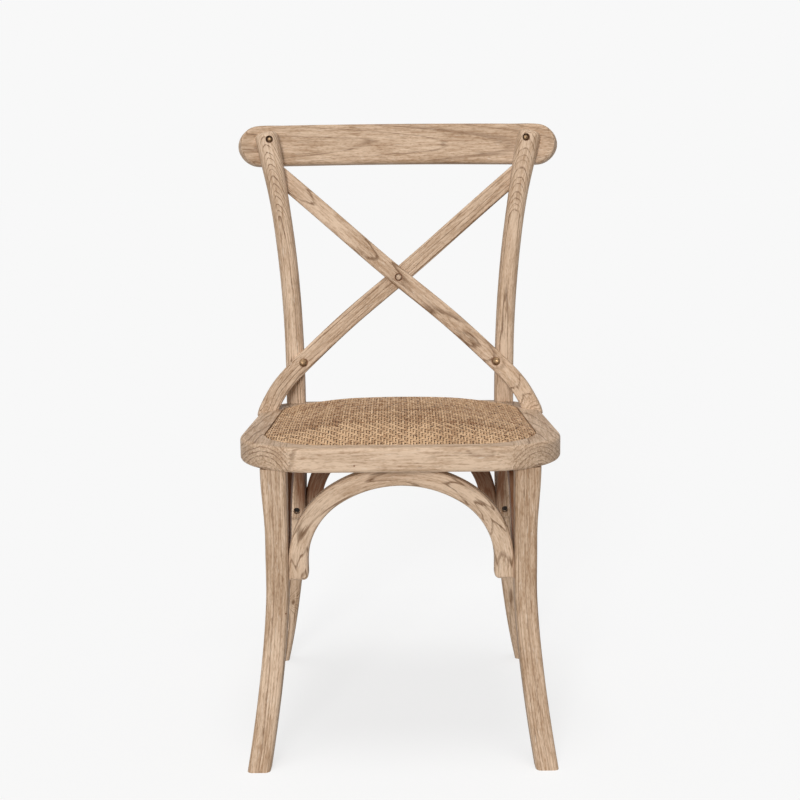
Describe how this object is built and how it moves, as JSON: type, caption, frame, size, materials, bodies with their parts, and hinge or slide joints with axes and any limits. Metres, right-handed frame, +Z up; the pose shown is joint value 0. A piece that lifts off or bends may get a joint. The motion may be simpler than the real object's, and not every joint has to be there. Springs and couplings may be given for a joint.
{
  "type": "cross back chair",
  "caption": "Wooden dining chair with a crossed back, a bent top rail, bentwood arches under the seat frame and a crowned woven cane seat.",
  "frame": {"origin": "centre of the chair's bounding box, on the floor", "axes": "+X to the right of a viewer who faces the chair's front, +Y from the seat's front edge to the back, +Z up"},
  "size_m": [0.5104, 0.5058, 0.8904],
  "materials": {
    "weathered_oak": "open-grained, brushed and limed, matt",
    "rattan_cane": "woven natural cane, satin",
    "plywood": "unfinished sheet",
    "foam": "matt",
    "brass": "aged satin",
    "steel": "dull, oiled"
  },
  "bodies": {
    "root": {"rear_leg_post_left": "weathered_oak", "rear_leg_post_right": "weathered_oak", "front_leg_left": "weathered_oak", "front_leg_right": "weathered_oak", "top_rail": "weathered_oak", "cross_splat_front": "weathered_oak", "cross_splat_back": "weathered_oak", "front_arch": "weathered_oak", "rear_arch": "weathered_oak", "side_arch_left": "weathered_oak", "side_arch_right": "weathered_oak", "seat_rail_front": "weathered_oak", "seat_rail_back": "weathered_oak", "seat_rail_left": "weathered_oak", "seat_rail_right": "weathered_oak", "seat_frame_dowels": "weathered_oak", "cross_centre_plug": "weathered_oak", "woven_seat": "rattan_cane", "seat_base_panel": "plywood", "seat_padding": "foam", "splat_domed_screws": "brass", "top_rail_screws": "steel", "cross_centre_screw": "steel", "splat_head_screws": "steel", "arch_end_screws": "steel", "arch_crown_screws": "steel", "post_bolts": "steel", "seat_panel_screws": "steel"}
  },
  "joints": []
}
